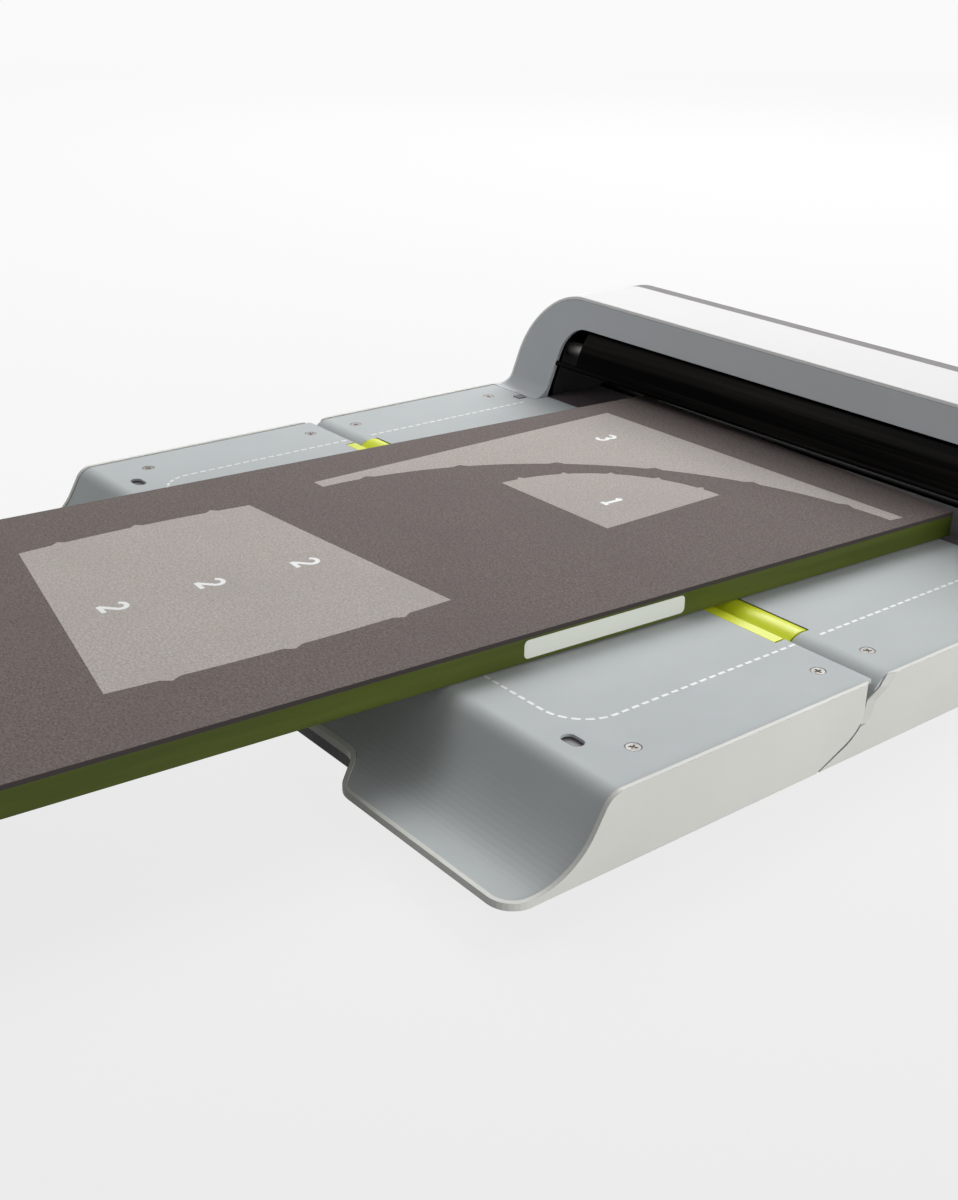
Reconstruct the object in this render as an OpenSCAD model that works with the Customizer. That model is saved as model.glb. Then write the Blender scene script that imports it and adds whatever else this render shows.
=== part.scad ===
// Electric die cutting machine: a roller housing between two shelves, each with a folding wing,
// loaded with one steel-rule die board. Millimetres, Z up, X along the rollers, -Y is the feed side.
// The origin is on the table, at the middle of the base.

/* [Overall] */
// Width over the white side walls
body_w = 456; // [420:1:520]
// Height of the decks above the table
deck_h = 44; // [42:0.5:52]
// Depth of the base tray and of the wings below the deck
tray_drop = 34; // [33:0.5:36]
// Thickness of the moulded side walls
wall = 2.2; // [1.8:0.2:4]
// Thickness of the tray floors
floor_t = 2.5; // [2:0.25:3]
// Thickness of the grey deck sheets
deck_t = 1.5; // [1.25:0.25:3]
// How far the white rim stands above the decks
rim_up = 0.6; // [0:0.1:1.5]

/* [Housing] */
// Height of the housing above the decks
arch_h = 67; // [64:0.5:85]
// Width of the housing
arch_w = 442; // [410:1:500]
// Radius of the housing's two upper corners
arch_r = 45; // [30:1:55]
// Depth of the housing at deck level, between the two leaning faces
foot_depth = 118; // [110:1:150]
// Depth of the flat top
top_depth = 65.4; // [60:0.5:90]
// Radius that flares the faces into the decks
face_flare = 13; // [8:0.5:16]
// Radius that flares the end walls into the side walls
end_flare = 7; // [4:0.5:10]
// Wall of the white cover
cover_t = 1.8; // [1.6:0.2:4]
// Wall of the grey faces
face_t = 2.5; // [2:0.25:4]
// Width of the grey band that the rear face wraps over the top
band_w = 9.3; // [4:0.1:12]
// Width of the die slot
slot_w = 364; // [330:1:380]
// Height of the die slot above the decks
slot_h = 48; // [44:0.5:54]
// Radius of the slot's upper corners
slot_r = 18; // [8:1:24]

/* [Visors] */
// Height of the visor's lower lip above the decks
visor_lip_h = 22; // [20:0.5:28]
// Radius of the curved visor
visor_r = 45; // [38:1:80]
// Thickness of the visor
visor_t = 2; // [1.5:0.25:3]

/* [Shelves and wings] */
// Distance from the middle of the base to each hinge axis
hinge_y = 209.4; // [195:0.2:230]
// Radius of the hinge nose; the hinge axis is this far below the deck
nose_r = 12; // [10:0.5:13]
// How far the lime barrel stands above the nose
barrel_up = 0.4; // [0:0.1:0.5]
// Length of the lime hinge barrel
barrel_len = 350; // [300:1:380]
// Diameter of the hinge pin
pin_d = 5; // [4:0.5:6]
// Flat length of the front wing's deck, from the hinge axis to the bend
wing_flat = 165; // [150:1:180]
// Reach of the front wing, from the hinge axis to its lip
wing_reach = 222; // [218:1:250]
// Flat length of the rear flap's deck, from the hinge axis to the bend
rear_flat = 34; // [32:1:60]
// Reach of the rear flap, from the hinge axis to its lip
rear_reach = 92; // [90:1:130]
// Skin of a wing under its deck sheet
skin_t = 1.2; // [1:0.2:2.5]
// Radius of the bend at the end of the deck
bend_r = 10; // [6:0.5:14]
// Radius of the scooped end
scoop_r = 34; // [26:1:36]
// Steepness of the scooped end, in degrees
scoop_angle = 61; // [55:1:75]
// Corner radius of the lip, seen from above
lip_r = 12; // [6:0.5:18]
// Width of the hand notch, halfway down its slanted sides
notch_w = 218; // [120:1:240]
// Depth of the hand notch
notch_d = 20; // [10:0.5:24]
// How far a wing folds up, in degrees
fold_max = 90; // [60:1:90]

/* [Rollers] */
// Diameter of the lower roller
low_roller_d = 30; // [26:0.5:31]
// Diameter of the upper roller
top_roller_d = 40; // [34:0.5:42]
// Space over the die board that the mat and the fabric need
pinch_gap = 2.6; // [1:0.1:4]
// Thickness of the steel side plates
plate_t = 5; // [4:0.5:6]
// Module of the gears
gear_m = 1.5; // [1.4:0.05:1.5]
// Width of the gear teeth
gear_w = 8; // [5:0.5:10]
// Teeth of the gear on the lower roller
drive_teeth = 20; // [20:1:20]
// Teeth of the idler gear
idler_teeth = 24; // [24:1:24]
// Teeth of the motor pinion
pinion_teeth = 14; // [14:1:14]

/* [Die board] */
// Width of the die board
die_w = 254; // [200:1:300]
// Length of the die board
die_len = 610; // [400:1:650]
// Thickness of the painted board
board_t = 11.7; // [8:0.1:12.5]
// Thickness of the dark foam
foam_t = 2.2; // [1.5:0.1:3]
// Gap between the decks and the board
die_lift = 0.8; // [0.5:0.1:1.5]
// Angle at which the board was laid in, in degrees
die_skew = 3.75; // [0:0.25:4]
// Distance of the board's inner end from the roller axis
die_start = 41.4; // [38:0.2:60]

/* [Controls] */
// Diameter of the three buttons
button_d = 9; // [8:0.5:10]
// Distance between the buttons
button_pitch = 12; // [11.5:0.5:13]
// Travel of a button
button_travel = 1.6; // [1:0.1:2]
// Swing of the mains rocker to each side of the middle, in degrees
rocker_swing = 12; // [8:1:14]

/* [Hidden] */
$fn = 48;

seam_gap = 0.4;
fit_gap = 0.3;
run_gap = 0.06;
half_w = body_w / 2;
inner_w = half_w - wall;
tray_bottom = deck_h - tray_drop;
tray_floor = tray_bottom + floor_t;
arch_top = deck_h + arch_h;
lean = atan((foot_depth - top_depth) / 2 / arch_h);
seam_y = foot_depth / 2 + face_flare * tan((90 - lean) / 2);
face_depth = face_t / cos(lean);
deck_edge_y = foot_depth / 2 - 2.6;
slot_top = deck_h + slot_h;

axis_z = deck_h - nose_r;
nose_gap = 0.6;
barrel_gap = 0.4;
barrel_end_gap = 0.8;
barrel_r = nose_r + barrel_up;
plate_back = nose_r + 4;
leaf_end = nose_r + 7;
wall_start = nose_r + 2.9;
wing_arc_c = [40, 8];
wing_arc_r = 24;
tray_arc_r = 25.2;
arc_end = 245;
tray_tail = 46;
wing_tail = 48;
wing_bottom = nose_r - tray_drop;
lip_top = wing_bottom + skin_t + deck_t;
lip_rim = wall;
wing_corner_r = 6;
deck_corner_r = 1.6;
bevel_turn = 66.8;
bevel_low = -8;
hole_w = 11.5;
hole_d = 7;
hole_x = 187;
hole_reach = 155;
block_w = 6.6;
block_x = 192;
block_y = seam_y + seam_gap + block_w / 2 + 1;
screw_x = 205.5;
screw_outer = 139;
screw_inner = 25.5;
screw_shelf = 9.2;
screw_seam = 89.4;
screw_head_d = 7;
screw_head_t = 0.9;
screw_shank_d = 3;
post_d = 8;
nose_post_top = axis_z - sqrt(pow(nose_r, 2) - pow(screw_shelf - post_d / 2, 2)) - 0.3;
notch_in_r = 14;
notch_out_r = 13;
front_wing = [wing_flat, wing_reach, [screw_outer, screw_inner]];
rear_flap = [rear_flat, rear_reach, [screw_inner]];

board_bottom = deck_h + die_lift;
low_r = low_roller_d / 2;
top_r = top_roller_d / 2;
roll_gap = 0.3;
low_z = board_bottom - roll_gap - low_r;
top_z = board_bottom + board_t + foam_t + pinch_gap + top_r;
plate_x = slot_w / 2 + 1;
plate_out = plate_x + plate_t;
plate_foot_y = foot_depth / 2 - 9;
plate_top_y = top_depth / 2 - 3.7;
plate_top_z = arch_top - cover_t - 4;
roller_len = slot_w - 1;
low_shaft_r = 7;
top_shaft_r = 8;
low_bush_r = 10;
top_bush_r = 11.5;
bush_out = 2;
gear_x = plate_out + 8;
drive_r = gear_m * drive_teeth / 2;
idler_r = gear_m * idler_teeth / 2;
pinion_r = gear_m * pinion_teeth / 2;
idler_z = low_z + 6;
idler_y = sqrt(pow(drive_r + idler_r, 2) - pow(idler_z - low_z, 2));
pinion_z = idler_z - 9;
pinion_y = idler_y + sqrt(pow(idler_r + pinion_r, 2) - pow(pinion_z - idler_z, 2));
backlash = 0.3;
motor_r = 13.5;
motor_len = 60;
gearbox_len = 20;
foot_r = 12;

button_y = -top_depth / 2 + 11.2;
button_x = arch_w / 2 - arch_r - 18;
panel_t = 1.6;
panel_w = 2 * button_pitch + button_d + 2.6;
panel_d = button_d + 5;
button_up = 2.2;
button_flange = 1.2;
inlet_y = 118;
inlet_z = deck_h - tray_drop / 2 - 0.5;
inlet_w = 28;
inlet_h = 20;
switch_y = 148;
switch_w = 20;
switch_h = 14;

// ---------- points and plain helpers ----------

function arc(c, r, a0, a1, n) =
  [for (i = [0:n]) [c[0] + r * cos(a0 + (a1 - a0) * i / n), c[1] + r * sin(a0 + (a1 - a0) * i / n)]];

function flip(points) = [for (i = [len(points) - 1:-1:0]) [-points[i][0], points[i][1]]];

// Front face line at a height
function face_y(z) = -foot_depth / 2 + (z - deck_h) * tan(lean);

// Outline of the housing seen from the front, inset by t on its sides and top
function arch_half(t) = concat(
  arc([half_w, deck_h + end_flare], end_flare + t, 270, 180, 5),
  arc([arch_w / 2 - arch_r, arch_top - arch_r], arch_r - t, 0, 90, 15)
);
function arch_points(t) = concat(arch_half(t), flip(arch_half(t)));

// Slot seen from the front, inset by t
function slot_half(t) = concat(
  [[slot_w / 2 - t, deck_h - 10]],
  arc([slot_w / 2 - slot_r, slot_top - slot_r], slot_r - t, 0, 90, 8)
);
function slot_points(t) = concat(slot_half(t), flip(slot_half(t)));

// Front face seen from the end, from the seam up to the top, t behind the outer surface
function face_line(t, top) = concat(
  arc([-seam_y, deck_h + face_flare], face_flare + t, 270, 360 - lean, 7),
  [[face_y(top) + t / cos(lean), top]]
);

// Extrudes a (y, z) outline along X
module across(x0, x1) {
  translate([x0, 0, 0]) rotate([90, 0, 90]) linear_extrude(x1 - x0) children();
}

// Extrudes an (x, z) outline along Y
module through(y0, y1) {
  translate([0, y1, 0]) rotate([90, 0, 0]) linear_extrude(y1 - y0) children();
}

// A rod along X
module rod(x0, x1, r) {
  translate([x0, 0, 0]) rotate([0, 90, 0]) cylinder(h = x1 - x0, r = r);
}

module both_ends() {
  children();
  mirror([1, 0, 0]) children();
}

module at_rear() {
  mirror([0, 1, 0]) children();
}

// Puts a wing, drawn with its hinge axis on X and reaching along -Y, in its place
module at_hinge() {
  translate([0, -hinge_y, axis_z]) children();
}

// ---------- base tray ----------

// End of the tray below the hinge, in (reach, height) from the hinge axis
function tray_end() = concat(
  [[nose_r - 8.9, nose_r + rim_up], [nose_r - 4.5, nose_r - 5]],
  arc(wing_arc_c, tray_arc_r, 192, arc_end, 8),
  [[tray_tail, wing_bottom]]
);

// The tray's end in (y, z) at the front
function tray_end_front() = [for (p = tray_end()) [-hinge_y - p[0], axis_z + p[1]]];

module tray_side_outline() {
  polygon(concat(
    [[-seam_y, deck_h + rim_up]], tray_end_front(),
    flip(tray_end_front()), [[seam_y, deck_h + rim_up], [seam_y, deck_h], [-seam_y, deck_h]]
  ));
}

// What a side wall loses beyond its end profile, slanting inwards from the outer face
module tray_end_bevel() {
  scaled = [for (p = tray_end()) if (p[1] > bevel_low) [-p[0] * cos(bevel_turn), p[1]]];
  top = scaled[0] + 4 * (scaled[0] - scaled[1]);
  rest = [for (i = [1:len(scaled) - 1]) scaled[i]];
  low = rest[len(rest) - 1][1];
  far = -100 * cos(bevel_turn);
  translate([inner_w + 0.4, -hinge_y, axis_z]) rotate(bevel_turn)
    across(-60, 20) polygon(concat([top], rest, [[far, low], [far, top[1]]]));
}

// Floor with a low curved end under each hinge
module tray_skin_outline() {
  skin_top = axis_z + wing_bottom + 11;
  inner = concat(arc(wing_arc_c, tray_arc_r + floor_t, 200, 236, 6), [[tray_tail - 8, wing_bottom + floor_t]]);
  void = [for (p = inner) [-hinge_y - p[0], axis_z + p[1]]];
  difference() {
    polygon(concat(tray_end_front(), flip(tray_end_front())));
    polygon(concat(void, flip(void)));
    translate([-hinge_y - 100, skin_top]) square([2 * hinge_y + 200, 100]);
  }
}

module base_tray() color("whitesmoke") {
  difference() {
    union() {
      both_ends() difference() {
        across(inner_w, half_w) tray_side_outline();
        tray_end_bevel();
        at_rear() tray_end_bevel();
      }
      across(-inner_w, inner_w) tray_skin_outline();
      both_ends() for (s = [-1, 1]) {
        translate([screw_x, s * screw_seam, tray_bottom]) cylinder(h = tray_drop - deck_t, d = post_d);
        translate([screw_x, s * (hinge_y - screw_shelf), tray_bottom])
          cylinder(h = nose_post_top - tray_bottom, d = post_d);
      }
    }
    both_ends() for (s = [-1, 1]) {
      translate([screw_x, s * screw_seam, deck_h - 12]) cylinder(h = 20, d = screw_shank_d + 0.1);
      translate([screw_x, s * (hinge_y - screw_shelf), tray_floor]) cylinder(h = 20, d = screw_shank_d + 0.1);
    }
    translate([inner_w - 1, inlet_y - inlet_w / 2, inlet_z - inlet_h / 2])
      cube([wall + 2, inlet_w, inlet_h]);
    translate([inner_w - 1, switch_y - switch_w / 2, inlet_z - switch_h / 2])
      cube([wall + 2, switch_w, switch_h]);
  }
}

module base_feet() color("dimgray") {
  both_ends() for (y = [-180, -60, 60, 180])
    translate([190, y, 0]) cylinder(h = tray_bottom, r = foot_r);
  cylinder(h = tray_bottom, r = foot_r);
}

// ---------- shelf decks and hinge pins ----------

module deck_screw_hole() {
  translate([0, 0, -30]) cylinder(h = 40, d = screw_shank_d + 0.3);
  translate([0, 0, -screw_head_t]) cylinder(h = 5, d = screw_head_d + 0.3);
}

module deck_screw(long) {
  translate([0, 0, -screw_head_t]) cylinder(h = screw_head_t - 0.1, d = screw_head_d);
  translate([0, 0, -long]) cylinder(h = long - screw_head_t, d = screw_shank_d);
}

module shelf_deck() {
  edge = inner_w - fit_gap;
  difference() {
    union() {
      translate([-edge, -hinge_y, deck_h - deck_t]) cube([2 * edge, hinge_y - seam_y - seam_gap, deck_t]);
      translate([-slot_w / 2 + fit_gap, -seam_y - 1, deck_h - deck_t])
        cube([slot_w - 2 * fit_gap, seam_y + 1 - deck_edge_y, deck_t]);
      both_ends() at_hinge() rod(barrel_len / 2, edge, nose_r);
    }
    at_hinge() rod(-barrel_len / 2, barrel_len / 2, barrel_r + barrel_gap);
    at_hinge() rod(-edge - 1, edge + 1, pin_d / 2);
    both_ends() for (y = [hinge_y - screw_shelf, screw_seam])
      translate([screw_x, -y, deck_h]) deck_screw_hole();
    for (x = [-1, 1]) translate([x * block_x, -block_y, deck_h])
      cube([block_w + fit_gap, block_w + fit_gap, 6], center = true);
  }
}

module front_shelf_deck() color("lightsteelblue") shelf_deck();

module rear_shelf_deck() color("lightsteelblue") at_rear() shelf_deck();

module hinge_pin() {
  at_hinge() rod(-inner_w + 3, inner_w - 3, pin_d / 2);
}

module front_hinge_pin() color("silver") hinge_pin();

module rear_hinge_pin() color("silver") at_rear() hinge_pin();

module shelf_screws() color("silver") {
  both_ends() for (s = [-1, 1]) {
    translate([screw_x, s * screw_seam, deck_h]) deck_screw(11);
    translate([screw_x, s * (hinge_y - screw_shelf), deck_h]) deck_screw(deck_h - nose_post_top + 5);
  }
}

// Small square pads set in the decks beside the seam
module seam_blocks() color("dimgray") {
  both_ends() for (s = [-1, 1])
    translate([block_x - block_w / 2, s * block_y - block_w / 2, deck_h - deck_t])
      cube([block_w, block_w, deck_t + 0.6]);
}

module platen() {
  near = sqrt(pow(low_r, 2) - pow(deck_h - deck_t - low_z, 2)) + 0.7;
  translate([-plate_x + 0.3, -deck_edge_y + fit_gap, deck_h - deck_t])
    cube([2 * plate_x - 0.6, deck_edge_y - fit_gap - near, deck_t]);
}

module front_platen() color("black") platen();

module rear_platen() color("black") at_rear() platen();

// ---------- housing ----------

// A face's section with its solid foot, in (y, z), front side
module face_section(top) {
  foot_z = deck_h - deck_t;
  polygon(concat(
    [[-seam_y, foot_z]], face_line(0, top),
    [[face_y(top) + face_depth, top], [face_y(foot_z) + face_depth, foot_z]]
  ));
}

module slot_cut() {
  through(-90, 90) polygon(slot_points(0));
}

// A face panel that stops at a given inset inside the arch
module face_panel(inset) {
  difference() {
    intersection() {
      across(-inner_w + fit_gap, inner_w - fit_gap) face_section(arch_top - inset);
      through(-90, 0) polygon(concat([[half_w, 0]], arch_half(inset), flip(arch_half(inset)), [[-half_w, 0]]));
    }
    slot_cut();
  }
}

module front_face() color("slategray") face_panel(cover_t + 0.15);

// Line of the rear face in (y, z), from the top down to the seam, moved forward by t
function rear_line(t) = [for (p = flip(face_line(0, arch_top))) [p[0] - t, p[1]]];

// Section of the housing from the front face to a line set forward of the rear one, in (y, z)
module cover_section(set_forward) {
  polygon(concat(face_line(0, arch_top), rear_line(set_forward)));
}

module band_section() {
  near = rear_line(band_w);
  polygon(concat(rear_line(0), [for (i = [len(near) - 1:-1:0]) near[i]]));
}

module cover_tube() {
  difference() {
    through(-90, 90) polygon(arch_points(0));
    through(-91, 91) polygon(arch_points(cover_t));
  }
}

module rear_face() color("slategray") {
  union() {
    at_rear() face_panel(cover_t);
    intersection() {
      cover_tube();
      across(-half_w, half_w) band_section();
    }
  }
}

module top_cover() color("white") {
  difference() {
    intersection() {
      cover_tube();
      across(-half_w, half_w) cover_section(band_w + 0.15);
    }
    for (i = [-1:1]) translate([button_x + i * button_pitch, button_y, arch_top - 10])
      cylinder(h = 20, d = button_d + 0.8);
  }
}

// A curved smoked visor that closes the upper part of the slot
module visor() {
  low = [face_y(deck_h + visor_lip_h) + 0.6, deck_h + visor_lip_h];
  high = [face_y(slot_top) + face_depth + 0.9, slot_top];
  chord = norm(high - low);
  tilt = atan2(high[1] - low[1], high[0] - low[0]);
  rise = sqrt(pow(visor_r, 2) - pow(chord / 2, 2));
  mid = (high + low) / 2;
  centre = mid + rise * [cos(tilt - 90), sin(tilt - 90)];
  half_angle = asin(chord / 2 / visor_r);
  facing = tilt + 90;
  visor_half = slot_w / 2 - 20;
  intersection() {
    union() {
      across(-visor_half, visor_half) polygon(concat(
        arc(centre, visor_r, facing + half_angle, facing - half_angle, 12),
        arc(centre, visor_r - visor_t, facing - half_angle, facing + half_angle, 12)
      ));
      translate([0, low[0] + 1.4, low[1] + 0.6]) rod(-slot_w / 2, slot_w / 2, 1.8);
    }
    through(-90, 90) polygon(slot_points(0.4));
  }
}

module front_visor() color("#2b2b2e") visor();

module rear_visor() color("#2b2b2e") at_rear() visor();

// ---------- roller frame ----------

module side_plate_outline() {
  difference() {
    polygon([
      [-plate_foot_y, tray_floor], [plate_foot_y, tray_floor], [plate_foot_y, deck_h + 4],
      [plate_top_y, plate_top_z], [-plate_top_y, plate_top_z], [-plate_foot_y, deck_h + 4]
    ]);
    translate([0, low_z]) circle(r = low_bush_r);
    translate([0, top_z]) circle(r = top_bush_r);
  }
}

module side_plate() {
  difference() {
    across(plate_x, plate_out) side_plate_outline();
    for (p = tie_places) translate([0, p[0], p[1]]) rod(plate_x - 1, plate_out + 1, tie_r);
    translate([0, idler_y, idler_z]) rod(plate_x - 1, plate_out + 1, 4);
  }
}

tie_r = 5;
tie_places = [[-40, tray_floor + 9], [33, top_z - 7], [-33, top_z - 7]];

module left_side_plate() color("dimgray") mirror([1, 0, 0]) side_plate();

module right_side_plate() color("dimgray") side_plate();

module tie_rods() color("silver") {
  for (p = tie_places) translate([0, p[0], p[1]]) {
    rod(-plate_out, plate_out, tie_r);
    both_ends() rod(plate_out, plate_out + 3, tie_r + 1.5);
  }
}

module roller_bushes() color("goldenrod") {
  both_ends() for (b = [[low_z, low_bush_r, low_shaft_r], [top_z, top_bush_r, top_shaft_r]])
    translate([0, 0, b[0]]) difference() {
      union() {
        rod(plate_x, plate_out + bush_out, b[1]);
        rod(plate_out, plate_out + bush_out, b[1] + 2);
      }
      rod(plate_x - 1, plate_out + bush_out + 1, b[2] + run_gap);
    }
}

module lower_roller() color("silver") {
  translate([0, 0, low_z]) {
    rod(-roller_len / 2, roller_len / 2, low_r);
    rod(-plate_out - 6, gear_x + gear_w + 2, low_shaft_r);
  }
}

module upper_roller() color("silver") {
  translate([0, 0, top_z]) {
    rod(-roller_len / 2, roller_len / 2, top_r);
    rod(-plate_out - 6, plate_out + 6, top_shaft_r);
  }
}

// ---------- gears ----------

// Involute tooth flank at radius r, as the angle away from the tooth's centre line
function inv(a) = tan(a) * 180 / PI - a;
function flank(z, r) =
  let (pr = gear_m * z / 2, br = pr * cos(20), half = 90 / z - backlash / 4 / pr * 180 / PI)
  half + inv(20) - (r > br ? inv(acos(br / r)) : 0);

function gear_points(z) =
  let (
    pr = gear_m * z / 2,
    root = pr - 1.25 * gear_m,
    tip = pr + gear_m,
    base = max(root + 0.1, pr * cos(20)),
    radii = concat([root], [for (i = [0:4]) base + (tip - base) * i / 4])
  )
  [for (k = [0:z - 1]) for (i = [0:11])
    let (rise = i < 6, r = radii[rise ? i : 11 - i], a = k * 360 / z + (rise ? -1 : 1) * flank(z, r))
    [r * cos(a), r * sin(a)]];

module spur_gear(z, bore_r, turn) {
  difference() {
    across(gear_x, gear_x + gear_w) rotate(turn) polygon(gear_points(z));
    rod(gear_x - 1, gear_x + gear_w + 1, bore_r);
  }
}

to_idler = atan2(idler_z - low_z, idler_y);
to_pinion = atan2(pinion_z - idler_z, pinion_y - idler_y);
// The idler is turned so that a gap of it meets a tooth of the drive gear, and so on down the train
idler_turn = to_idler + 180 + 180 / idler_teeth;
pinion_lag = (to_pinion - idler_turn) * idler_teeth / pinion_teeth;
pinion_turn = to_pinion + 180 + 180 / pinion_teeth + pinion_lag;

module drive_gear() color("darkgray")
  translate([0, 0, low_z]) spur_gear(drive_teeth, low_shaft_r, to_idler);

module idler_gear() color("ivory")
  translate([0, idler_y, idler_z]) spur_gear(idler_teeth, 4 + run_gap, idler_turn);

module motor_pinion() color("darkgray")
  translate([0, pinion_y, pinion_z]) {
    spur_gear(pinion_teeth, 3, pinion_turn);
    rod(plate_x + 3, gear_x + gear_w + 2, 3);
  }

module idler_stud() color("silver") translate([0, idler_y, idler_z]) {
  rod(plate_x, gear_x + gear_w + 2, 4);
  rod(plate_out, gear_x - 0.4, 6);
  rod(gear_x + gear_w + 0.4, gear_x + gear_w + 2, 6);
}

module motor() color("gray") translate([0, pinion_y, pinion_z]) {
  rod(plate_x - 1 - gearbox_len - motor_len, plate_x - 1 - gearbox_len, motor_r);
  rod(plate_x - 5 - gearbox_len - motor_len, plate_x - 1 - gearbox_len - motor_len, 4);
}

module gearbox() color("darkgray") translate([0, pinion_y, pinion_z]) difference() {
  union() {
    rod(plate_x - 1 - gearbox_len, plate_x - 1, motor_r);
    rod(plate_x - 1, plate_out, 6);
  }
  rod(plate_x + 2, plate_out + 1, 3 + run_gap);
}

module motor_bracket() color("silver") difference() {
  across(plate_x - 1, plate_out) translate([plate_foot_y + 0.2, tray_floor])
    square([pinion_y + motor_r + 2 - plate_foot_y, pinion_z + motor_r - tray_floor]);
  translate([0, pinion_y, pinion_z]) rod(plate_x - 2, plate_out + 1, 6);
}

// ---------- electrics ----------

module control_board() color("darkgreen") {
  translate([-150, -170, tray_floor + 3]) cube([110, 70, 1.6]);
  for (x = [-144, -46]) for (y = [-164, -106]) translate([x, y, tray_floor]) cylinder(h = 3, r = 3);
  translate([-135, -150, tray_floor + 4.6]) cube([30, 20, 9]);
  translate([-90, -155, tray_floor + 4.6]) cube([16, 34, 14]);
  for (i = [0:3]) translate([-66 + i * 7, -118, tray_floor + 4.6]) cylinder(h = 11, r = 3);
}

module power_supply() color("gainsboro") {
  translate([60, -165, tray_floor]) cube([120, 80, 24]);
}

module mains_inlet() color("black") {
  difference() {
    union() {
      translate([inner_w - 22, inlet_y - inlet_w / 2 + 0.2, inlet_z - inlet_h / 2 + 0.2])
        cube([wall + 22, inlet_w - 0.4, inlet_h - 0.4]);
      translate([half_w, inlet_y - inlet_w / 2 - 2, inlet_z - inlet_h / 2 - 2])
        cube([1.5, inlet_w + 4, inlet_h + 4]);
    }
    translate([half_w - 15, inlet_y - 12, inlet_z - 7.5]) cube([20, 24, 15]);
  }
  for (i = [-1:1]) translate([half_w - 16, inlet_y + i * 7 - 1, inlet_z - 2 + (i == 0 ? 1.5 : -1.5)])
    cube([12, 2, 4]);
}

module switch_frame() color("black") {
  difference() {
    union() {
      translate([inner_w - 14, switch_y - switch_w / 2 + 0.2, inlet_z - switch_h / 2 + 0.2])
        cube([wall + 14, switch_w - 0.4, switch_h - 0.4]);
      translate([half_w, switch_y - switch_w / 2 - 2, inlet_z - switch_h / 2 - 2])
        cube([1.5, switch_w + 4, switch_h + 4]);
    }
    translate([half_w - 8, switch_y - switch_w / 2 + 2, inlet_z - switch_h / 2 + 2])
      cube([20, switch_w - 4, switch_h - 4]);
  }
}

// A rocker that turns about a pin along Z, near the wall's outer face
module mains_rocker() color("dimgray") translate([half_w - 3.2, switch_y, inlet_z]) {
  half_l = switch_w / 2 - 3.2;
  half_h = switch_h / 2 - 2.4;
  translate([0, 0, -half_h]) linear_extrude(2 * half_h)
    polygon([[-2.2, -2.5], [1.6, -half_l], [4.2, -half_l], [3.4, 0], [4.2, half_l], [1.6, half_l], [-2.2, 2.5]]);
  translate([0, 0, -half_h - 0.3]) cylinder(h = 2 * half_h + 0.6, r = 1.6);
}

module button_panel() color("dimgray") {
  difference() {
    translate([button_x - panel_w / 2, button_y - panel_d / 2, arch_top])
      cube([panel_w, panel_d, panel_t]);
    for (i = [-1:1]) translate([button_x + i * button_pitch, button_y, arch_top - 1])
      cylinder(h = 5, d = button_d + 0.6);
  }
}

// The board hangs from four short posts under the roof of the cover
module button_board() color("darkgreen") {
  top = arch_top - cover_t;
  board_w = 2 * button_pitch + button_d + 9;
  translate([button_x - board_w / 2, button_y - 8.5, top - 9.6]) cube([board_w, 17, 1.6]);
  for (x = [-0.5, 0.5]) for (y = [-6.5, 6.5])
    translate([button_x + x * button_pitch, button_y + y, top - 8]) cylinder(h = 8, r = 1.8);
  for (i = [-1:1]) translate([button_x + i * button_pitch, button_y, top - 8]) cylinder(h = 2.8, r = 2.5);
}

module button(i) {
  translate([button_x + i * button_pitch, button_y, arch_top - cover_t - 3]) {
    cylinder(h = 3 + cover_t + panel_t + button_up, d = button_d);
    cylinder(h = button_flange, d = button_d + 2.4);
  }
}

module forward_button() color("yellowgreen") button(1);

module stop_button() color("tomato") button(0);

module reverse_button() color("whitesmoke") button(-1);

// ---------- wings ----------

// Top line of a wing in (reach, height) from the hinge axis, t below the deck surface
function wing_top(t, size) =
  let (
    steep = [bend_r * sin(scoop_angle), nose_r - bend_r + bend_r * cos(scoop_angle)],
    from = [size[0] + steep[0], steep[1]],
    drop = scoop_r * (1 - cos(scoop_angle)),
    run = max(0, (from[1] - lip_top - drop) / sin(scoop_angle)),
    start = from + run * [cos(scoop_angle), -sin(scoop_angle)],
    centre = start + scoop_r * [sin(scoop_angle), cos(scoop_angle)]
  )
  concat(
    arc([size[0], nose_r - bend_r], bend_r - t, 90, 90 - scoop_angle, 8),
    arc(centre, scoop_r + t, 270 - scoop_angle, 270, 12),
    [[size[1] + 5, lip_top - t]]
  );

// Side outline of a wing, raised above the deck surface by up
function wing_side(up, size) = concat(
  [[wall_start, nose_r + up]], wing_top(-up, size),
  [[size[1] + 5, wing_bottom], [wing_tail, wing_bottom]],
  arc(wing_arc_c, wing_arc_r, arc_end, 188, 8),
  [[wall_start, nose_r - deck_t - 3]]
);

// A wing's outline seen from above, inset by t from its outer edges, with rounded corners at the hinge
function wing_plan_half(t, size, near, corner) =
  let (reach = size[1], bottom = notch_w / 2 - notch_d / 2, top = notch_w / 2 + notch_d / 2)
  concat(
    arc([bottom - notch_in_r * tan(22.5), reach - notch_d + notch_in_r], notch_in_r + t, 270, 315, 4),
    arc([top + notch_out_r * tan(22.5), reach - notch_out_r], max(notch_out_r - t, 1), 135, 90, 4),
    arc([half_w - lip_r, reach - lip_r], lip_r - t, 90, 0, 8),
    arc([half_w - t - corner, near + corner], corner, 0, -90, 5)
  );
function wing_plan(t, size, near, corner) =
  concat(wing_plan_half(t, size, near, corner), flip(wing_plan_half(t, size, near, corner)));

// Extrudes an outline in (reach, height) along X; reach runs along -Y
module wing_across(x0, x1) {
  mirror([0, 1, 0]) across(x0, x1) children();
}

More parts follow.
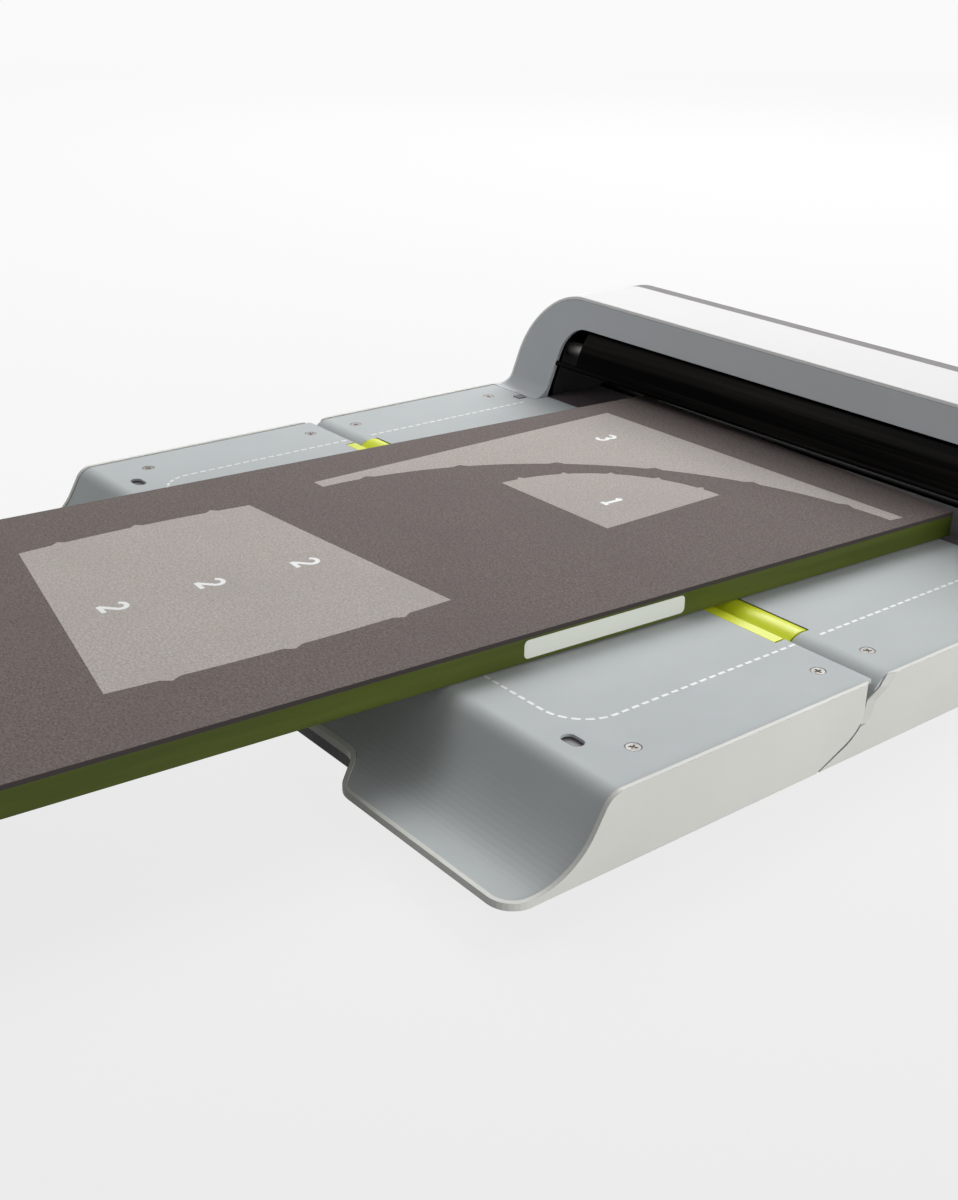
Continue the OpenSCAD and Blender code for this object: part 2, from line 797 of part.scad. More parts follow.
// Cuts a wing to its outline seen from above
module wing_cut(t, size, near, corner) {
  intersection() {
    children();
    mirror([0, 1, 0]) translate([0, 0, -60]) linear_extrude(120) polygon(wing_plan(t, size, near, corner));
  }
}

module wing_screw_places(size) {
  both_ends() for (reach = size[2]) translate([screw_x, -reach, nose_r]) children();
}

module wing_shell(size) {
  difference() {
    union() {
      difference() {
        wing_cut(0, size, wall_start, wing_corner_r)
          wing_across(-half_w, half_w) polygon(wing_side(rim_up, size));
        wing_cut(lip_rim, size, 0, 1) difference() {
          wing_across(-inner_w, inner_w) translate([plate_back + 2.2, wing_bottom + skin_t])
            square([300, 100]);
          wing_across(-inner_w, inner_w) polygon(concat(
            [[0, 30], [0, -40], [wing_tail + 4, -40], [wing_tail + 4, wing_bottom + skin_t]],
            arc(wing_arc_c, wing_arc_r - 2.2, arc_end, 180, 8),
            [[wing_arc_c[0] - wing_arc_r + 2.2, 30]]
          ));
        }
        wing_across(-inner_w, inner_w) translate([0, nose_r - deck_t]) square([plate_back + 2.3, 30]);
        wing_across(-inner_w, inner_w) translate([-5, -40]) square([plate_back + 5, 100]);
      }
      intersection() {
        wing_screw_places(size) translate([0, 0, wing_bottom - nose_r])
          cylinder(h = tray_drop - deck_t, d = post_d);
        wing_across(-half_w, half_w) polygon(wing_side(rim_up, size));
      }
    }
    wing_screw_places(size) translate([0, 0, -12]) cylinder(h = 20, d = screw_shank_d + 0.1);
  }
}

module wing_deck(size) {
  edge = inner_w - fit_gap;
  top = wing_top(0, size);
  under = wing_top(deck_t, size);
  difference() {
    wing_cut(lip_rim + fit_gap, size, nose_r + nose_gap, deck_corner_r)
      wing_across(-edge, edge) polygon(concat(
        [[nose_r + nose_gap - 1, nose_r]], top, [for (i = [len(under) - 1:-1:0]) under[i]],
        [[nose_r + nose_gap - 1, nose_r - deck_t]]
      ));
    wing_across(-barrel_len / 2 - 0.2, barrel_len / 2 + 0.2) square([leaf_end + 0.2, 40]);
    wing_screw_places(size) deck_screw_hole();
  }
}

// Oval holes at the outer corners of the front wing's deck
module oval_holes() {
  both_ends() translate([hole_x, -hole_reach, 0]) {
    for (s = [-1, 1]) translate([s * (hole_w - hole_d) / 2, 0, 0]) cylinder(h = 40, d = hole_d);
    translate([-(hole_w - hole_d) / 2, -hole_d / 2, 0]) cube([hole_w - hole_d, hole_d, 40]);
  }
}

module wing_screws(size) {
  wing_screw_places(size) deck_screw(11);
}

module wing_foot(size) {
  foot_reach = size[1] - notch_d - 8;
  foot_half = notch_w / 2 - 18;
  hull() for (s = [-1, 1]) translate([s * foot_half, -foot_reach + 1, -axis_z])
    cylinder(h = tray_bottom, r = 5, $fn = 32);
}

// Lime extrusion: a round barrel on the pin, a plate on the wing's end wall and a leaf set in the deck
module hinge_barrel() {
  half_l = barrel_len / 2 - barrel_end_gap;
  difference() {
    union() {
      rod(-half_l, half_l, barrel_r);
      wing_across(-half_l, half_l) {
        translate([nose_r - 4, -8]) square([8, 9]);
        translate([nose_r + nose_gap, -10]) square([plate_back - nose_r - nose_gap, nose_r + 10]);
        translate([nose_r + nose_gap, nose_r - deck_t]) square([leaf_end - nose_r - nose_gap, deck_t]);
      }
    }
    rod(-barrel_len, barrel_len, pin_d / 2 + run_gap);
  }
}

module front_wing_shell() color("whitesmoke") at_hinge() wing_shell(front_wing);

module front_wing_deck() color("lightsteelblue") at_hinge() difference() {
  wing_deck(front_wing);
  oval_holes();
}

module front_hinge_barrel() color("yellowgreen") at_hinge() hinge_barrel();

module front_wing_foot() color("black") at_hinge() wing_foot(front_wing);

module front_wing_screws() color("silver") at_hinge() wing_screws(front_wing);

module rear_wing_shell() color("whitesmoke") at_rear() at_hinge() wing_shell(rear_flap);

module rear_wing_deck() color("lightsteelblue") at_rear() at_hinge() wing_deck(rear_flap);

module rear_hinge_barrel() color("yellowgreen") at_rear() at_hinge() hinge_barrel();

module rear_wing_foot() color("black") at_rear() at_hinge() wing_foot(rear_flap);

module rear_wing_screws() color("silver") at_rear() at_hinge() wing_screws(rear_flap);

// ---------- die board ----------

// Puts a die drawn in (u across, v outwards from its inner end) in its place
module at_die(z) {
  translate([die_mid_x, -die_start, z]) rotate(-die_skew) mirror([0, 1, 0]) children();
}

die_mid_x = 15.7;
nick = 2.6;
patch_skew = -4.2;
corner_patch_at = [-108.8, 47.2];
corner_patch_w = 228;
corner_patch_d = 223;
corner_patch_r = 217.5;
corner_band = 9;
pie_at = [47.4, 175.4];
pie_r = 85;
strip_v0 = 305;
strip_v1 = 452;
strip_half = 79;
strip_splay = 11;
strip_bow = 3;

// Arc with n small nicks that stand out from it
function nicked_arc(c, r, a0, a1, n) =
  [for (i = [0:12 * n]) let (a = a0 + (a1 - a0) * i / (12 * n), q = i % 12 == 6 ? r + nick : r)
    [c[0] + q * cos(a), c[1] + q * sin(a)]];

// Edge from p to q that bows out to its right, with n small nicks
function nicked_edge(p, q, n) =
  let (d = q - p, side = [d[1], -d[0]] / norm(d))
  [for (i = [0:12 * n]) let (t = i / (12 * n))
    p + d * t + side * (4 * strip_bow * t * (1 - t) + (i % 12 == 6 ? nick : 0))];

module pie_patch() {
  translate(pie_at) rotate(patch_skew) polygon(concat([[0, 0]], nicked_arc([0, 0], pie_r, 180, 270, 5)));
}

module corner_patch() {
  mid = corner_patch_r + corner_band;
  end_a = asin((mid - corner_patch_d) / corner_patch_r);
  translate(corner_patch_at) rotate(patch_skew) polygon(concat(
    [[0, corner_patch_d], [0, 0], [corner_patch_w, 0]],
    nicked_arc([mid, mid], corner_patch_r, 270, 180 + end_a, 6)
  ));
}

module strip_patch() {
  polygon(concat(
    nicked_edge([strip_half, strip_v0 - strip_splay], [strip_half + 2, strip_v1 + strip_splay], 3),
    nicked_edge([-strip_half + 1, strip_v1 - strip_splay], [-strip_half, strip_v0 + strip_splay], 3)
  ));
}

module patches() {
  pie_patch();
  corner_patch();
  strip_patch();
}

module die_board() color("darkolivegreen")
  at_die(board_bottom) translate([-die_w / 2, 0, 0]) cube([die_w, die_len, board_t]);

module die_foam() color("dimgray") at_die(board_bottom + board_t) difference() {
  translate([-die_w / 2, 0, 0]) cube([die_w, die_len, foam_t]);
  translate([0, 0, -1]) linear_extrude(foam_t + 2) patches();
}

module die_patches() color("darkgray") at_die(board_bottom + board_t)
  linear_extrude(foam_t) patches();

base_tray();
front_shelf_deck();
rear_shelf_deck();
front_platen();
rear_platen();
front_face();
rear_face();
top_cover();
front_visor();
rear_visor();
left_side_plate();
right_side_plate();
tie_rods();
roller_bushes();
front_hinge_pin();
rear_hinge_pin();
base_feet();
seam_blocks();
shelf_screws();
motor();
gearbox();
motor_bracket();
idler_stud();
control_board();
power_supply();
mains_inlet();
switch_frame();
button_panel();
button_board();
front_wing_shell();
front_wing_deck();
front_hinge_barrel();
front_wing_foot();
front_wing_screws();
rear_wing_shell();
rear_wing_deck();
rear_hinge_barrel();
rear_wing_foot();
rear_wing_screws();
lower_roller();
drive_gear();
upper_roller();
idler_gear();
motor_pinion();
die_board();
die_foam();
die_patches();
forward_button();
stop_button();
reverse_button();
mains_rocker();
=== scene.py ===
import math

import bmesh
import bpy
from mathutils import Matrix, Vector


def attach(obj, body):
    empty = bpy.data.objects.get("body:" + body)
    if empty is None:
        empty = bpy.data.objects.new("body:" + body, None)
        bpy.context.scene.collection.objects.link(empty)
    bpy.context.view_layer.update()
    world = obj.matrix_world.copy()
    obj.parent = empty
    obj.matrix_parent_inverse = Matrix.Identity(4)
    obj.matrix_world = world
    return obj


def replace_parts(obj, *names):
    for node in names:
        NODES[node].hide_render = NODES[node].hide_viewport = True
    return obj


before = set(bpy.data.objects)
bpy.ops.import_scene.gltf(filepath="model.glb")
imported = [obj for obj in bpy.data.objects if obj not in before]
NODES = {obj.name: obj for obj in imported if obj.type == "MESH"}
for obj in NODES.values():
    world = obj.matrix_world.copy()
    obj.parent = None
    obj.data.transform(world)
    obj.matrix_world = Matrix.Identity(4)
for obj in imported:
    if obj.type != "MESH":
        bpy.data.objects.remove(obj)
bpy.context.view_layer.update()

MM = 0.001

# ---------------------------------------------------------------- sizes, in mm, in the model's frame
DECK_Z = 44.0
HINGE_Y = 209.4
SCREW_X = 205.5
SHELF_SCREW_Y = (200.2, 89.4)
WING_SCREW_REACH = {"front": (139.0, 25.5), "rear": (25.5,)}  # outwards from the hinge
HOLE_X, HOLE_REACH = 187.0, 155.0

# The die board's end in the slot, its turn, and its layers
DIE_START = (15.7, -41.4)
DIE_SKEW = math.radians(3.75)
DIE_W = 254.0
DIE_BOTTOM = 44.8
BOARD_T = 11.7
FOAM_T = 2.2
DIE_TOP = DIE_BOTTOM + BOARD_T + FOAM_T

# Printed lines
STITCH_X = 181.5
DASH, DASH_GAP, DASH_W = 3.9, 2.2, 1.5
DASH_PART = 0.65  # spacing of the points that a dash is drawn through
INK_T = 0.06


# ---------------------------------------------------------------- camera
def basis(azimuth, elevation, roll):
    """Right, up and backward vectors of a camera that looks at the object from azimuth and elevation."""
    a, e, r = (math.radians(v) for v in (azimuth, elevation, roll))
    back = Vector((math.sin(a) * math.cos(e), -math.cos(a) * math.cos(e), math.sin(e)))
    right = (-back).cross(Vector((0, 0, 1))).normalized()
    up = right.cross(-back)
    return (right * math.cos(r) + up * math.sin(r), up * math.cos(r) - right * math.sin(r), back)


def make_camera():
    """The camera solved from the photo's straight edges, for a frame of 958 x 1200."""
    frame_height = 1200.0
    focal = 1519.93  # in pixels of that frame
    sensor = 36.0
    data = bpy.data.cameras.new("camera")
    data.sensor_width = sensor
    data.lens = sensor * focal / frame_height
    data.shift_x = -0.81 / frame_height
    data.shift_y = -1.47 / frame_height
    data.clip_start = 0.05
    data.clip_end = 30.0
    cam = bpy.data.objects.new("camera", data)
    bpy.context.collection.objects.link(cam)
    right, up, back = basis(50.67, 24.16, 1.40)
    place = Vector((576.34, -733.45, 345.46)) * MM
    cam.matrix_world = Matrix((
        (right.x, up.x, back.x, place.x),
        (right.y, up.y, back.y, place.y),
        (right.z, up.z, back.z, place.z),
        (0, 0, 0, 1)))
    bpy.context.scene.camera = cam


make_camera()
bpy.context.scene.view_settings.view_transform = "Standard"


# ---------------------------------------------------------------- material helpers
def srgb(r, g, b):
    """An sRGB colour in 0-255 as a linear RGBA tuple."""
    def lin(v):
        v /= 255.0
        return v / 12.92 if v <= 0.04045 else ((v + 0.055) / 1.055) ** 2.4
    return (lin(r), lin(g), lin(b), 1.0)


def scaled(colour, k):
    """A linear colour times k, at most 1."""
    return tuple(min(1.0, c * k) for c in colour[:3]) + (1.0,)


class Look:
    """A small builder round one Principled material with object-space textures."""

    def __init__(self, name, colour, rough, **sockets):
        """Sockets are named as in the shader, with underscores for spaces."""
        self.mat = bpy.data.materials.new(name)
        self.mat.use_nodes = True
        self.tree = self.mat.node_tree
        self.bsdf = self.tree.nodes["Principled BSDF"]
        self.bsdf.inputs["Base Color"].default_value = colour
        self.bsdf.inputs["Roughness"].default_value = rough
        for key, value in sockets.items():
            self.bsdf.inputs[key.replace("_", " ")].default_value = value
        self.coords = self.add("ShaderNodeTexCoord").outputs["Object"]
        self.colour = colour
        self.normal = None

    def add(self, kind, **props):
        """A new node, with its properties set."""
        node = self.tree.nodes.new(kind)
        for key, value in props.items():
            setattr(node, key, value)
        return node

    def link(self, a, b):
        self.tree.links.new(a, b)

    def stretched(self, scale):
        """Object coordinates scaled along each axis."""
        mapping = self.add("ShaderNodeMapping")
        mapping.inputs["Scale"].default_value = scale
        self.link(self.coords, mapping.inputs["Vector"])
        return mapping.outputs["Vector"]

    def noise(self, scale, detail=3.0, rough=0.55, stretch=None):
        """Noise with scale cells in a metre, denser along the axes that stretch scales up."""
        node = self.add("ShaderNodeTexNoise")
        node.inputs["Scale"].default_value = scale
        node.inputs["Detail"].default_value = detail
        node.inputs["Roughness"].default_value = rough
        self.link(self.stretched(stretch) if stretch else self.coords, node.inputs["Vector"])
        return node.outputs["Fac"]

    def facing_up(self):
        """How far the surface faces up, from the true face and not from its bumps."""
        split = self.add("ShaderNodeSeparateXYZ")
        self.link(self.add("ShaderNodeNewGeometry").outputs["True Normal"], split.inputs[0])
        return split.outputs["Z"]

    def ramp(self, value, low, high, a=0.0, b=1.0):
        """Maps low to high onto a to b, clamped."""
        node = self.add("ShaderNodeMapRange")
        node.inputs["From Min"].default_value = low
        node.inputs["From Max"].default_value = high
        node.inputs["To Min"].default_value = a
        node.inputs["To Max"].default_value = b
        self.link(value, node.inputs["Value"])
        return node.outputs["Result"]

    def tint(self, value, dark, light):
        """Sets the base colour to a mix by value. The dark one may be a colour or a socket."""
        node = self.add("ShaderNodeMix", data_type="RGBA")
        self.link(value, node.inputs["Factor"])
        low, high = (socket for socket in node.inputs if socket.type == "RGBA")
        if isinstance(dark, tuple):
            low.default_value = dark
        else:
            self.link(dark, low)
        high.default_value = light
        self.colour = next(socket for socket in node.outputs if socket.type == "RGBA")
        self.link(self.colour, self.bsdf.inputs["Base Color"])

    def over(self, value, colour):
        """Lays a colour over the present one where value is 1."""
        self.tint(value, self.colour, colour)

    def rough(self, value, low, high):
        """Roughness from low to high over the middle of a noise."""
        self.link(self.ramp(value, 0.3, 0.7, low, high), self.bsdf.inputs["Roughness"])

    def bump(self, value, depth_mm):
        """Adds a bump over those there are."""
        node = self.add("ShaderNodeBump")
        node.inputs["Strength"].default_value = 1.0
        node.inputs["Distance"].default_value = depth_mm * MM
        self.link(value, node.inputs["Height"])
        if self.normal:
            self.link(self.normal, node.inputs["Normal"])
        self.normal = node.outputs["Normal"]
        self.link(self.normal, self.bsdf.inputs["Normal"])

    def soft_edges(self, radius_mm):
        """Rounds the shading of edges. It comes before any bump."""
        node = self.add("ShaderNodeBevel")
        node.samples = 4
        node.inputs["Radius"].default_value = radius_mm * MM
        self.normal = node.outputs["Normal"]
        self.link(self.normal, self.bsdf.inputs["Normal"])


def moulded(name, colour, rough, grain=0.03, spread=0.06, edge=0.5, **sockets):
    """Injection-moulded plastic: fine spark-eroded grain and a little drift in colour and gloss."""
    look = Look(name, colour, rough, **sockets)
    if edge:
        look.soft_edges(edge)
    drift = look.noise(9.0, 4.0)
    look.tint(look.ramp(drift, 0.3, 0.7), scaled(colour, 1 - spread), scaled(colour, 1 + spread * 0.6))
    look.rough(look.noise(55.0, 3.0), rough - 0.05, rough + 0.06)
    look.bump(look.noise(1500.0, 2.0), grain)
    return look


def metal(name, colour, rough, brushed=(1, 1, 1)):
    """Satin metal with fine streaks, along X where brushed stretches them."""
    look = Look(name, colour, rough, Metallic=1.0)
    look.soft_edges(0.25)
    streaks = look.noise(400.0, 3.0, stretch=brushed)
    look.tint(look.ramp(look.noise(30.0), 0.3, 0.7), scaled(colour, 0.85), colour)
    look.rough(streaks, rough - 0.06, rough + 0.1)
    look.bump(streaks, 0.01)
    return look


# ---------------------------------------------------------------- materials
def make_looks():
    """Every material, by the name that NODE_LOOKS and the pieces use."""
    looks = {}
    looks["white"] = moulded("shell_white", srgb(226, 226, 220), 0.46, Specular_IOR_Level=0.2)
    looks["gloss_white"] = moulded("cover_white", srgb(244, 244, 243), 0.42, grain=0.004, spread=0.012,
                                   Specular_IOR_Level=0.03)
    looks["deck"] = moulded("deck_grey", srgb(197, 202, 203), 0.55, grain=0.04, spread=0.03,
                            Specular_IOR_Level=0.08)
    looks["face"] = moulded("face_grey", srgb(188, 192, 195), 0.44, grain=0.03, spread=0.03)
    looks["band"] = moulded("band_grey", srgb(150, 147, 149), 0.6, grain=0.03, spread=0.03, Specular_IOR_Level=0.04)
    looks["platen"] = moulded("platen_dark", srgb(84, 76, 79), 0.4, grain=0.015)
    looks["black"] = moulded("black_plastic", srgb(22, 22, 23), 0.4, grain=0.02, Specular_IOR_Level=0.25)
    looks["plate"] = moulded("plate_black", srgb(20, 20, 21), 0.34, grain=0.015)
    looks["pad"] = moulded("pad_grey", srgb(112, 112, 122), 0.6, grain=0.05)
    looks["rubber"] = moulded("rubber", srgb(24, 24, 24), 0.72, grain=0.06)
    looks["lime"] = moulded("lime_plastic", srgb(230, 240, 44), 0.34, grain=0.006, spread=0.05, edge=0.3,
                            Specular_IOR_Level=0.25, Subsurface_Weight=0.12)
    looks["lime"].bsdf.inputs["Subsurface Radius"].default_value = (0.004, 0.004, 0.001)
    visor = Look("smoked_visor", srgb(10, 10, 11), 0.14, Specular_IOR_Level=0.012)
    visor.soft_edges(0.3)
    # Painted reflection: soft lighter streaks laid into the visor's black colour
    streaks = visor.noise(60.0, 3.0, stretch=(0.05, 1, 3.0))
    visor.tint(visor.ramp(streaks, 0.42, 0.66), srgb(4, 4, 4), srgb(36, 34, 32))
    visor.rough(visor.noise(25.0, 3.0, stretch=(0.2, 1, 1)), 0.08, 0.18)
    looks["visor"] = visor
    looks["steel"] = metal("zinc_steel", srgb(134, 131, 128), 0.55)
    # The roller's steel is dark, and its colour is darkened further as painted shade inside the slot
    looks["roller"] = metal("dark_steel_painted_shade", srgb(26, 25, 26), 0.5, brushed=(0.02, 1, 1))
    looks["bronze"] = metal("sintered_bronze", srgb(196, 160, 96), 0.42)
    looks["cast"] = metal("cast_grey", srgb(150, 151, 153), 0.48)
    looks["nylon"] = moulded("gear_nylon", srgb(226, 220, 204), 0.4)
    looks["circuit"] = moulded("circuit_green", srgb(20, 78, 46), 0.3)
    for tone, colour in (("green", srgb(140, 190, 60)), ("red", srgb(196, 52, 44)), ("white", srgb(232, 232, 230))):
        looks[tone + "_key"] = moulded("key_" + tone, colour, 0.34, edge=0.4, Specular_IOR_Level=0.25)
    looks["board"] = board_look()
    looks["foam"] = foam_look("foam_dark", srgb(101, 91, 88), srgb(77, 68, 65), srgb(130, 119, 115))
    looks["patch"] = foam_look("foam_light", srgb(180, 172, 167), srgb(160, 151, 146), srgb(203, 196, 191))
    looks["ink"] = moulded("white_ink", srgb(240, 242, 240), 0.5, grain=0.01, spread=0.02, edge=0)
    looks["label"] = moulded("label_paper", srgb(222, 226, 216), 0.35, grain=0.01, spread=0.03, edge=0)
    looks["recess"] = moulded("recess_dark", srgb(104, 100, 102), 0.5, grain=0.01, edge=0)
    return looks


def foam_look(name, colour, dark, light):
    """Closed-cell foam: a fine sparkle of cells, soft blotches, painted shade on its sides and a dry, slightly open
    surface.
    """
    look = Look(name, colour, 0.86, Specular_IOR_Level=0.35)
    cells = look.noise(900.0, 3.0, 0.7)
    look.tint(look.ramp(cells, 0.30, 0.72), dark, light)
    blotch = look.noise(16.0, 4.0)
    look.over(look.ramp(blotch, 0.45, 0.75, 0.0, 0.35), scaled(colour, 0.86))
    # Painted shade: faces that don't face up are darkened to 0.3 of the colour
    look.over(look.ramp(look.facing_up(), 0.3, 0.8, 1.0, 0.0), scaled(colour, 0.3))
    look.bump(look.noise(1400.0, 2.0), 0.12)
    look.bump(look.noise(160.0, 3.0), 0.10)
    return look


def board_look():
    """Painted hardboard: olive green with long brush streaks and a faint sheen."""
    look = Look("board_paint", srgb(76, 84, 30), 0.5, Specular_IOR_Level=0.15)
    look.soft_edges(0.6)
    streak = look.noise(70.0, 4.0, stretch=(1.0, 0.04, 1.0))
    look.tint(look.ramp(streak, 0.32, 0.7), srgb(62, 73, 24), srgb(86, 95, 38))
    look.rough(look.noise(40.0, 3.0, stretch=(1, 0.1, 1)), 0.34, 0.52)
    look.bump(look.noise(500.0, 3.0, stretch=(1, 0.15, 1)), 0.05)
    return look


LOOKS = make_looks()
NODE_LOOKS = {
    "base_tray": "white", "top_cover": "gloss_white", "front_face": "face", "rear_face": "band",
    "front_visor": "visor", "rear_visor": "visor", "front_platen": "platen", "rear_platen": "platen",
    "left_side_plate": "plate", "right_side_plate": "plate", "tie_rods": "steel", "roller_bushes": "bronze",
    "base_feet": "rubber", "seam_blocks": "pad", "shelf_screws": "steel", "motor": "cast", "gearbox": "cast",
    "motor_bracket": "steel", "idler_stud": "steel", "control_board": "circuit", "power_supply": "cast",
    "mains_inlet": "black", "switch_frame": "black", "button_panel": "black", "button_board": "circuit",
    "lower_roller": "roller", "upper_roller": "roller", "drive_gear": "cast", "idler_gear": "nylon",
    "motor_pinion": "cast", "die_board": "board", "die_foam": "foam", "die_patches": "patch",
    "forward_button": "green_key", "stop_button": "red_key", "reverse_button": "white_key", "mains_rocker": "black",
}
for end in ("front", "rear"):
    NODE_LOOKS.update({
        end + "_shelf_deck": "deck", end + "_hinge_pin": "steel", end + "_wing_shell": "white",
        end + "_wing_deck": "deck", end + "_hinge_barrel": "lime", end + "_wing_foot": "rubber",
        end + "_wing_screws": "steel"})


def dress(obj, look):
    """Gives an object one material."""
    obj.data.materials.clear()
    obj.data.materials.append(look.mat)


for name, look in NODE_LOOKS.items():
    dress(NODES[name], LOOKS[look])


# ---------------------------------------------------------------- piece helpers
def solid(name, bm, look):
    """Turns a bmesh in mm into an object in metres with a look."""
    mesh = bpy.data.meshes.new(name)
    bmesh.ops.scale(bm, vec=(MM, MM, MM), verts=bm.verts)
    bmesh.ops.recalc_face_normals(bm, faces=bm.faces)
    bm.to_mesh(mesh)
    bm.free()
    obj = bpy.data.objects.new(name, mesh)
    bpy.context.collection.objects.link(obj)
    dress(obj, look)
    return obj


def piece(name, bm, look, body):
    """A solid of the object itself, which rides on a body."""
    obj = solid(name, bm, LOOKS[look])
    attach(obj, body)
    return obj


def slab(bm, outline, low, high):
    """Adds a prism over a 2D outline from z low to z high."""
    lower = [bm.verts.new((x, y, low)) for x, y in outline]
    upper = [bm.verts.new((x, y, high)) for x, y in outline]
    count = len(outline)
    bm.faces.new(upper)
    bm.faces.new(list(reversed(lower)))
    for i in range(count):
        j = (i + 1) % count
        bm.faces.new((lower[i], lower[j], upper[j], upper[i]))


def ribbon(bm, path, width, low, high):
    """Adds a band of a width along a path of 2D points, as one slab."""
    left, right = [], []
    for i, p in enumerate(path):
        a = path[max(i - 1, 0)]
        b = path[min(i + 1, len(path) - 1)]
        dx, dy = b[0] - a[0], b[1] - a[1]
        size = math.hypot(dx, dy) or 1.0
        nx, ny = -dy / size * width / 2, dx / size * width / 2
        left.append((p[0] + nx, p[1] + ny))
        right.append((p[0] - nx, p[1] - ny))
    slab(bm, left + right[::-1], low, high)


def walk(path, step):
    """Resamples a path of 2D points at equal steps."""
    out = [path[0]]
    rest = step
    for a, b in zip(path, path[1:]):
        size = math.hypot(b[0] - a[0], b[1] - a[1])
        at = 0.0
        while size - at >= rest:
            at += rest
            rest = step
            t = at / size
            out.append((a[0] + (b[0] - a[0]) * t, a[1] + (b[1] - a[1]) * t))
        rest -= size - at
    return out


def arc(cx, cy, r, a0, a1, n):
    """n + 1 points on an arc from angle a0 to a1 in degrees."""
    return [(cx + r * math.cos(math.radians(a0 + (a1 - a0) * i / n)),
             cy + r * math.sin(math.radians(a0 + (a1 - a0) * i / n))) for i in range(n + 1)]


# ---------------------------------------------------------------- printed stitch lines
def dashes(bm, path, z):
    """Printed dashes along a path."""
    fine = walk(path, DASH_PART)
    per_dash = round(DASH / DASH_PART)
    per_step = round((DASH + DASH_GAP) / DASH_PART)
    for start in range(0, len(fine) - per_dash, per_step):
        ribbon(bm, fine[start:start + per_dash + 1], DASH_W, z, z + INK_T)


def stitch(end, sign):
    """Stitch lines of one end: sign -1 is the feed side, 1 the rear."""
    bm = bmesh.new()
    first, last = 78.0, HINGE_Y - 0.5
    for side in (-1, 1):
        dashes(bm, [(side * STITCH_X, sign * first), (side * STITCH_X, sign * last)], DECK_Z)
    piece(end + "_shelf_stitch", bm, "ink", "machine")
    if end == "rear":
        return
    bm = bmesh.new()
    cross = HINGE_Y + 148.0
    first = HINGE_Y + 13.2
    r = 22.0
    path = [(STITCH_X, first)]
    path += arc(STITCH_X - r, cross - r, r, 0, 90, 12)
    path += arc(-STITCH_X + r, cross - r, r, 90, 180, 12)
    path += [(-STITCH_X, first)]
    dashes(bm, [(x, sign * y) for x, y in path], DECK_Z)
    piece(end + "_wing_stitch", bm, "ink", end + "_wing")


# ---------------------------------------------------------------- screws with a cross recess
def screw(bm, x, y, z, turn):
    """A flat-topped screw whose head stands from z - 0.9 to z - 0.1, with a cross recess cut into it."""
    head_r, shank_r, bevel = 3.5, 1.5, 0.25
    pit_depth, pit_scale = 0.7, 0.75
    top, under, low = z - 0.1, z - 0.9, z - 11.0
    ring = [math.tau * i / 32 for i in range(32)]

    def circle(radius, height):
        return [bm.verts.new((x + radius * math.cos(a), y + radius * math.sin(a), height)) for a in ring]

    def band(upper, lower):
        for i in range(len(upper)):
            j = (i + 1) % len(upper)
            bm.faces.new((upper[i], upper[j], lower[j], lower[i]))

    w, h = 0.5, 2.0  # half width and half length of the cross
    cross = [(w, w), (w, h), (-w, h), (-w, w), (-h, w), (-h, -w),
             (-w, -w), (-w, -h), (w, -h), (w, -w), (h, -w), (h, w)]
    c, s = math.cos(turn), math.sin(turn)
    face = circle(head_r - bevel, top)
    lip = [bm.verts.new((x + u * c - v * s, y + u * s + v * c, top)) for u, v in cross]
    pit = [bm.verts.new((x + (u * c - v * s) * pit_scale, y + (u * s + v * c) * pit_scale, top - pit_depth))
           for u, v in cross]
    edges = []
    for loop in (face, lip):
        edges += [bm.edges.new((loop[i], loop[(i + 1) % len(loop)])) for i in range(len(loop))]
    bmesh.ops.triangle_fill(bm, edges=edges, use_beauty=True)
    band(lip, pit)
    bm.faces.new(pit)
    rim, skirt = circle(head_r, top - bevel), circle(head_r, under)
    neck, tip = circle(shank_r, under), circle(shank_r, low)
    for upper, lower in ((face, rim), (rim, skirt), (skirt, neck), (neck, tip)):
        band(upper, lower)
    bm.faces.new(tip)


def screws(name, places, body, node):
    """One piece with a screw at each place, shown instead of the CAD node."""
    bm = bmesh.new()
    for i, (x, y) in enumerate(places):
        screw(bm, x, y, DECK_Z, turn=0.35 + 0.9 * i)
    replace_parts(piece(name, bm, "steel", body), node)


# ---------------------------------------------------------------- die board
def die_place():
    """Matrix from (u across, v outwards, z) in mm to the model's frame in mm."""
    turn = Matrix.Rotation(-DIE_SKEW, 4, "Z")
    flip = Matrix.Diagonal((1, -1, 1, 1))
    return Matrix.Translation((DIE_START[0], DIE_START[1], 0)) @ turn @ flip


def number_mark(bm, digit, u, v):
    """A plain numeral drawn with bars, centred on (u, v) and upright as seen from the feed side."""
    size = 12.0
    unit = size / 6.0
    strokes = {
        1: [[(-1.2, 1.8), (0, 3)], [(0, 3), (0, -3)], [(-1.3, -3), (1.3, -3)]],
        2: [arc(0, 1.3, 1.7, 165, -35, 8) + [(-1.7, -3)], [(-1.9, -3), (1.9, -3)]],
        3: [arc(0, 1.45, 1.5, 150, -90, 8), arc(0, -1.4, 1.65, 90, -150, 8)],
    }[digit]
    # Each stroke stands a little over the last, so that their tops don't coincide
    for level, line in enumerate(strokes):
        ribbon(bm, [(u + unit * x, v - unit * y) for x, y in line],
               0.2 * size, DIE_TOP, DIE_TOP + 0.05 + 0.02 * level)


def die_marks():
    """The numerals on the foam patches."""
    bm = bmesh.new()
    for digit, u, v in ((2, 4.7, 426.8), (2, 3.4, 378.3), (2, 4.8, 328.6), (3, -69.6, 80.2), (1, 18.3, 147.3)):
        number_mark(bm, digit, u, v)
    bmesh.ops.transform(bm, matrix=die_place(), verts=bm.verts)
    piece("piece_numbers", bm, "ink", "die")


